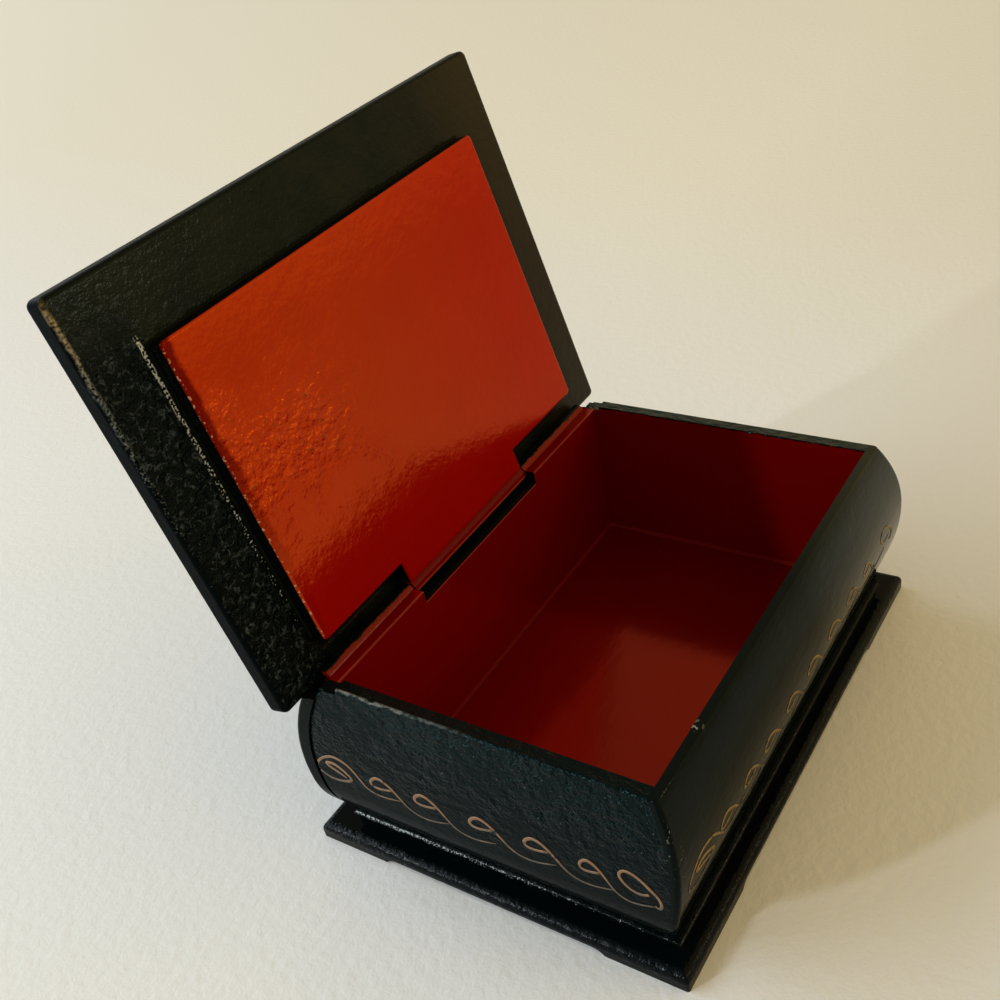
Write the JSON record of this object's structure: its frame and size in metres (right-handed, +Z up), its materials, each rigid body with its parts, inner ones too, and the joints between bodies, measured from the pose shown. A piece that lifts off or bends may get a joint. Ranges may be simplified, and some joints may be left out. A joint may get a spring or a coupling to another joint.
{
  "type": "lacquer box",
  "caption": "Rectangular papier mache lacquer box with swelled walls on a bracket-footed plinth and a flat hinged lid, shown open.",
  "frame": {"origin": "middle of the plinth's underside, on the ground", "axes": "+Z up, +X along the hinge, -Y towards the front, where the lid is lifted; modelled with the lid open on its stop"},
  "size_m": [0.1142, 0.098, 0.1159],
  "materials": {
    "black_lacquer": "gloss lacquer over papier mache",
    "red_lacquer": "gloss lacquer over papier mache",
    "pin_wire": "drawn wire"
  },
  "bodies": {
    "box": {"plinth_board": "black_lacquer", "plinth_step": "black_lacquer", "floor_board": "red_lacquer", "front_wall": "black_lacquer", "back_wall": "black_lacquer", "left_wall": "black_lacquer", "right_wall": "black_lacquer", "hinge_knuckle_left": "red_lacquer", "hinge_knuckle_right": "red_lacquer", "hinge_pin": "pin_wire"},
    "lid": {"lid_board": "black_lacquer", "lid_panel": "red_lacquer", "lid_knuckle": "black_lacquer"}
  },
  "joints": [
    {"name": "lid_hinge", "type": "hinge", "parent": "box", "child": "lid", "pos_m": [0, 0.0332, 0.03845], "axis": [1, 0, 0], "range_deg": [0, 103.5]}
  ]
}
